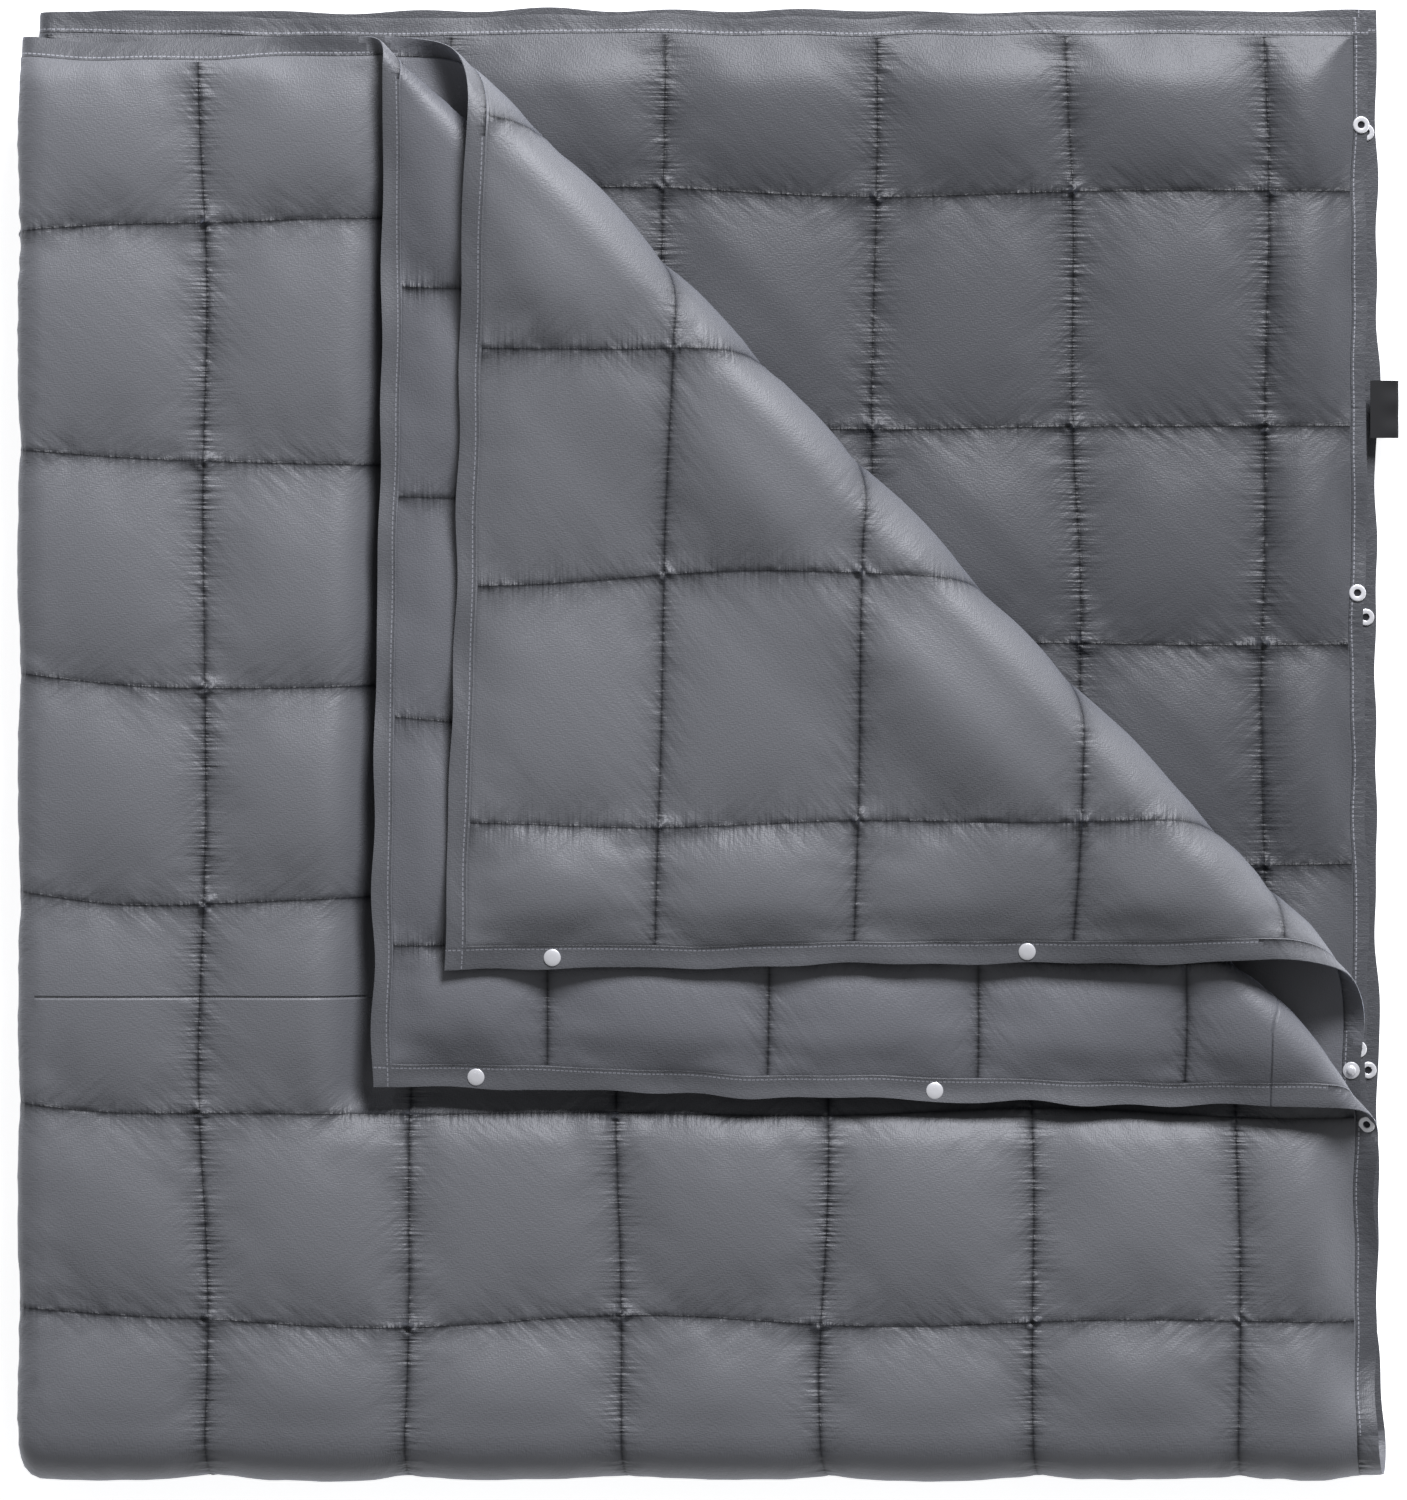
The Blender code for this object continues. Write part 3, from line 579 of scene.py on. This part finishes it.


# the second colour of each nylon is the painted shade in its seams
faceNylon = wovenNylon("woven nylon, face", "#66676a", "#1b1c1f")
liningNylon = wovenNylon("woven nylon, lining", "#65666a", "#1b1c1f")
hemNylon = wovenNylon("folded nylon hem", "#5a5b5e", "#333438", pucker=0.22, crossPucker=0.8, slant=0.16,
                      threadShadeDepth=0.15, sideShadeDepth=0.0, stitched=True)
# the hems of the lower and upper quilt: the same hem nylon, darker by painted shade
paintedShadeHemNylon = wovenNylon("folded nylon hem, darkened by painted shade", "#48494c", "#26272a",
                            pucker=0.45, crossPucker=0.8, slant=0.30,
                            threadShadeDepth=0.15, sideShadeDepth=0.0, stitched=True)
# the lower pair's face: the same nylon, darker by painted shade
lowerPaintedShadeNylon = wovenNylon("woven nylon, face of the lower pair", "#4c4d50", "#141517")
nickel = newMaterial("pressed nickel-plated brass", "#f4f4f6", 0.3, metallic=0.55)[0]  # bright dots
# a dark material for the hole of a ring: painted shade in the socket
paintedShadeHole = newMaterial("socket hole in painted shade", "#26262a", 0.5, metallic=0.6)[0]
tape = newMaterial("black woven tape", "#0d0d0f", 0.75)[0]

# Quilt pieces: padded squares and hems on each moving part, skins over the bends
layers = {
    "lower": {"body": "lower_half", "stands": ["lower_face_fabric", "lower_batting", "lower_lining"],
              "hemStands": ["lower_top_hem", "bottom_layer_side_hem", "third_layer_side_hem"]},
    "upper": {"body": "upper_half", "stands": ["upper_face_fabric", "upper_batting", "upper_lining"],
              "hemStands": ["upper_top_hem", "top_layer_side_hem", "second_layer_side_hem"]},
    "topCorner": {"body": "top_corner",
                  "stands": ["top_corner_face_fabric", "top_corner_batting", "top_corner_lining"],
                  "hemStands": ["top_corner_hem"]},
    "secondCorner": {"body": "second_corner",
                     "stands": ["second_corner_face_fabric", "second_corner_batting", "second_corner_lining"],
                     "hemStands": ["second_corner_hem"]},
}
titles = {"lower": "lower_quilt", "upper": "upper_quilt",
          "topCorner": "top_corner", "secondCorner": "second_corner"}
for key, layer in layers.items():
    # painted shade: the lower pair's face gets the darker nylon
    face = lowerPaintedShadeNylon if key == "lower" else faceNylon
    padding = sheetPiece(titles[key] + "_squares", areas[key] & ~hemCells, materials=(face, liningNylon))
    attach(padding, layer["body"])
    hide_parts(*layer["stands"])
    # painted shade: the lower and upper quilt's hems get the darker hem nylon
    hemCloth = paintedShadeHemNylon if key in ("lower", "upper") else hemNylon
    hem = sheetPiece(titles[key] + "_hem", areas[key] & hemCells, materials=(hemCloth,))
    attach(hem, layer["body"])
    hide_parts(*layer["hemStands"])
print("padded pieces built")

# Each bend has a skin on both sides. A skin turns between the two heights at which its flat ends meet it.
bends = {
    "foot_bend_outer_skin": {"area": "footOuter", "bodies": ("lower_half", "upper_half"), "axis": footAxis,
                             "face": 0.031, "lining": 0.0202, "stands": "foot_bend_outer"},
    "foot_bend_inner_skin": {"area": "footInner", "bodies": ("lower_half", "upper_half"), "axis": footAxis,
                             "face": 0.0002, "lining": 0.011, "stands": "foot_bend_inner"},
    "top_corner_bend_skin": {"area": "topBend", "bodies": ("upper_half", "top_corner"), "axis": cornerAxis,
                             "face": 0.0002, "lining": 0.011, "stands": "top_corner_bend"},
    "second_corner_bend_skin": {"area": "secondBend", "bodies": ("upper_half", "second_corner"),
                                "axis": cornerAxis, "face": 0.031, "lining": 0.0202,
                                "stands": "second_corner_bend"},
}
for title, bend in bends.items():
    for side, skin in ((0, "face"), (1, "lining")):
        cloth = (faceNylon, liningNylon)[side]
        piece = sheetPiece(f"{title}_{skin}", areas[bend["area"]], sides=(side,), materials=(cloth,))
        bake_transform(piece)
        if side == 0:
            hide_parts(bend["stands"])
print("bends built")


# Places on the hems
def onSheet(u, b, side):
    # surface point, normal and the hem's direction where line u crosses the distance b along the length
    i = float(np.interp(u, lines, np.arange(count)))
    low = min(int(i), count - 2)
    share = i - low
    lengths = alongV[low] * (1 - share) + alongV[low + 1] * share
    j = float(np.interp(b, lengths, np.arange(count)))
    lowJ = min(int(j), count - 2)
    shareJ = j - lowJ

    def at(grid):
        first = grid[low, lowJ] * (1 - share) + grid[low + 1, lowJ] * share
        second = grid[low, lowJ + 1] * (1 - share) + grid[low + 1, lowJ + 1] * share
        return first * (1 - shareJ) + second * shareJ

    along = points[side][low, lowJ + 1] - points[side][low, lowJ]
    return Vector(at(points[side])), Vector(at(normals[side])).normalized(), Vector(along).normalized()


def frameAt(point, normal, along, sink=0.0):
    side = normal.cross(along).normalized()
    turn = Matrix((side.cross(normal), side, normal)).transposed().to_4x4()
    return Matrix.Translation(point - normal * sink) @ turn


# Snaps: pressed from sheet metal, one of each modelled and copied
snap = {"radius": 0.00625, "hole": 0.0026, "sink": 0.0002, "rounding": 0.00022}


def turnedDisc(name, height, rim, hollow):
    # a disc whose top face is inset and pushed up or down, then rounded
    deselectAll()
    middle = (0, 0, height / 2)
    bpy.ops.mesh.primitive_cylinder_add(vertices=32, radius=snap["radius"], depth=height, location=middle)
    disc = bpy.context.object
    disc.name = name
    bpy.ops.object.mode_set(mode="EDIT")
    bpy.ops.mesh.select_mode(type="FACE")
    bpy.ops.mesh.select_all(action="DESELECT")
    bpy.ops.object.mode_set(mode="OBJECT")
    for f in disc.data.polygons:
        f.select = f.normal.z > 0.9
    bpy.ops.object.mode_set(mode="EDIT")
    for inset, push in rim:
        bpy.ops.mesh.inset(thickness=inset, depth=0)
        bpy.ops.transform.translate(value=(0, 0, push))
    bpy.ops.mesh.select_all(action="DESELECT")
    bpy.ops.object.mode_set(mode="OBJECT")
    soften = disc.modifiers.new("soften", "BEVEL")
    soften.width, soften.segments = snap["rounding"], 2
    soften.limit_method, soften.angle_limit = "ANGLE", math.radians(35)
    bpy.ops.object.modifier_apply(modifier=soften.name)
    bpy.ops.object.shade_smooth()
    disc.data.transform(Matrix.Translation(middle))
    disc.location = (0, 0, 0)
    disc.data.materials.append(nickel)
    if hollow:
        # painted shade: the ring's hole gets the dark material
        disc.data.materials.append(paintedShadeHole)
        for f in disc.data.polygons:
            fromMiddle = math.hypot(f.center.x, f.center.y)
            f.material_index = int(fromMiddle < snap["hole"] and f.center.z < height * 0.8)
    return disc


snapModels = {
    "cap": turnedDisc("snap_cap", 0.0009, ((0.0010, 0.0003), (0.0016, 0.0003), (0.0016, 0.0001)), False),
    "ring": turnedDisc("snap_ring", 0.0011, ((0.0006, 0.0005), (0.0028, 0.0), (0.0003, -0.0011)), True),
    "stud": turnedDisc("snap_stud", 0.0009, ((0.0026, 0.0), (0.0007, 0.0016), (0.0010, 0.0004)), False),
}


def lengthFromY(y, upper):
    return (1 if upper else -1) * (y - footAxis.y + footArc)


topEdge, secondEdge = float(alongV[-1, -1]), float(alongV[0, -1])
# where the snaps sit: their side hem's line number, distances along the sheet's length, and their body
snapPlaces = {
    "bottom_layer": (7.5, [lengthFromY(y, False) for y in (0.4545, 0.0960, -0.2390)], "lower_half"),
    "third_layer": (-7.5, [lengthFromY(y, False) for y in (0.4589, 0.1136, -0.2228)], "lower_half"),
    "top_layer": (7.5, [topEdge - 0.080, topEdge - 0.439, lengthFromY(-0.2755, True)], "top_corner"),
    "second_layer": (-7.5, [secondEdge - 0.079, secondEdge - 0.428, lengthFromY(-0.2375, True)],
                     "second_corner"),
}
for layerName, (u, distances, cornerBody) in snapPlaces.items():
    for n, b in enumerate(distances, 1):
        cap = f"{layerName}_snap_cap_{n}"
        other = f"{layerName}_snap_{'stud' if layerName == 'second_layer' else 'ring'}_{n}"
        body = "upper_half" if layerName in ("top_layer", "second_layer") and n == 3 else cornerBody
        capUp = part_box(cap)[1].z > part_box(other)[1].z
        faceUp = onSheet(u, b, 0)[1].z > 0
        capSide = 0 if capUp == faceUp else 1
        for cadName, side in ((cap, capSide), (other, 1 - capSide)):
            kind = cadName.split("_")[3]
            piece = snapModels[kind].copy()
            piece.data = snapModels[kind].data.copy()
            piece.name = cadName + "_pressed"
            bpy.context.scene.collection.objects.link(piece)
            piece.data.transform(frameAt(*onSheet(u, b, side), sink=snap["sink"]))
            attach(piece, body)
            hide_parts(cadName)
for model in snapModels.values():
    bpy.data.objects.remove(model)
print("snaps placed")

# Label: a plain woven tape folded in two, caught in the third layer's hem
label = {
    "length": 0.0425,  # along the hem
    "reach": 0.0152,  # how far it sticks out of the hem
    "inside": 0.006,  # and how far it goes in
    "from": 0.2280,  # where its lower edge is
    "gap": 0.0011,  # between the two sides of the tape
    "fold": 0.0012,  # length over which they meet
    "droop": 0.0035,
}
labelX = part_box("side_label")[1][0] - label["reach"]
outline = []
for k in range(25):  # across the tape: out along the underside, round the fold and back
    t = k / 24
    length = label["reach"] + label["inside"]
    s = abs(2 * t - 1)
    fromFold = min(1, s * length / label["fold"])
    height = (label["gap"] / 2) * (1 if t > 0.5 else -1) * min(1, math.sqrt(max(0, 1 - (1 - fromFold) ** 2)))
    outline.append((labelX - label["inside"] + length * (1 - s), height))
hemPoint = onSheet(-7.5, lengthFromY(label["from"] + label["length"] / 2, False), 1)[0]
rows = []
for r in range(15):
    y = label["from"] + label["length"] * r / 14
    for x, h in outline:
        outwards = max(0, x - labelX) / label["reach"]
        droop = label["droop"] * outwards ** 2
        rows.append((x, y, hemPoint.z - 0.0012 + h - droop + 0.0007 * math.sin(r * 0.9) * outwards))
across = len(outline)
tapeQuads = np.array([[r * across + c, r * across + c + 1, (r + 1) * across + c + 1, (r + 1) * across + c]
                      for r in range(14) for c in range(across - 1)])
labelMesh = newMesh("woven_label", np.array(rows), tapeQuads)
labelMesh.materials.append(tape)
labelMesh.shade_smooth()
sideLabel = bpy.data.objects.new("woven_label", labelMesh)
bpy.context.scene.collection.objects.link(sideLabel)
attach(sideLabel, "lower_half")
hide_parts("side_label")

# Studio: pale floor, one broad light beyond the top hem and to the right
deselectAll()
bpy.ops.mesh.primitive_plane_add(size=12, location=(0, 0, 0))
floor = bpy.context.object
floor.name = "floor"
floorMaterial = newMaterial("matt white paper, lit from below", "#f4f4f4", 0.9)[0]
glow = floorMaterial.node_tree.nodes["Principled BSDF"].inputs
glow["Emission Color"].default_value = (1, 1, 1, 1)
glow["Emission Strength"].default_value = 0.8
floor.data.materials.append(floorMaterial)

world = bpy.data.worlds.new("studio")
bpy.context.scene.world = world
world.use_nodes = True
world.node_tree.nodes["Background"].inputs["Color"].default_value = linear("#f4f5f9")
world.node_tree.nodes["Background"].inputs["Strength"].default_value = 0.29


def areaLight(name, place, target, size, power, colour):
    data = bpy.data.lights.new(name, "AREA")
    data.shape, data.size, data.energy, data.color = "SQUARE", size, power, linear(colour)[:3]
    lamp = bpy.data.objects.new(name, data)
    bpy.context.scene.collection.objects.link(lamp)
    lamp.location = place
    lamp.rotation_euler = (Vector(target) - Vector(place)).to_track_quat("-Z", "Y").to_euler()
    return lamp


areaLight("broad light", (1.6, 4.9, 3.5), (0, 0, 0), 2.0, 655, "#f7f8ff")

camera = {"height": 6.0, "seen": 1.0995, "x": -0.0018, "y": -0.0022, "focusPlane": 0.06}
cameraData = bpy.data.cameras.new("camera")
cameraData.lens = 36 * (camera["height"] - camera["focusPlane"]) / camera["seen"]
cameraData.clip_end = 50
cameraObject = bpy.data.objects.new("camera", cameraData)
bpy.context.scene.collection.objects.link(cameraObject)
cameraObject.location = (camera["x"], camera["y"], camera["height"])
bpy.context.scene.camera = cameraObject
bpy.context.scene.view_settings.view_transform = "Standard"
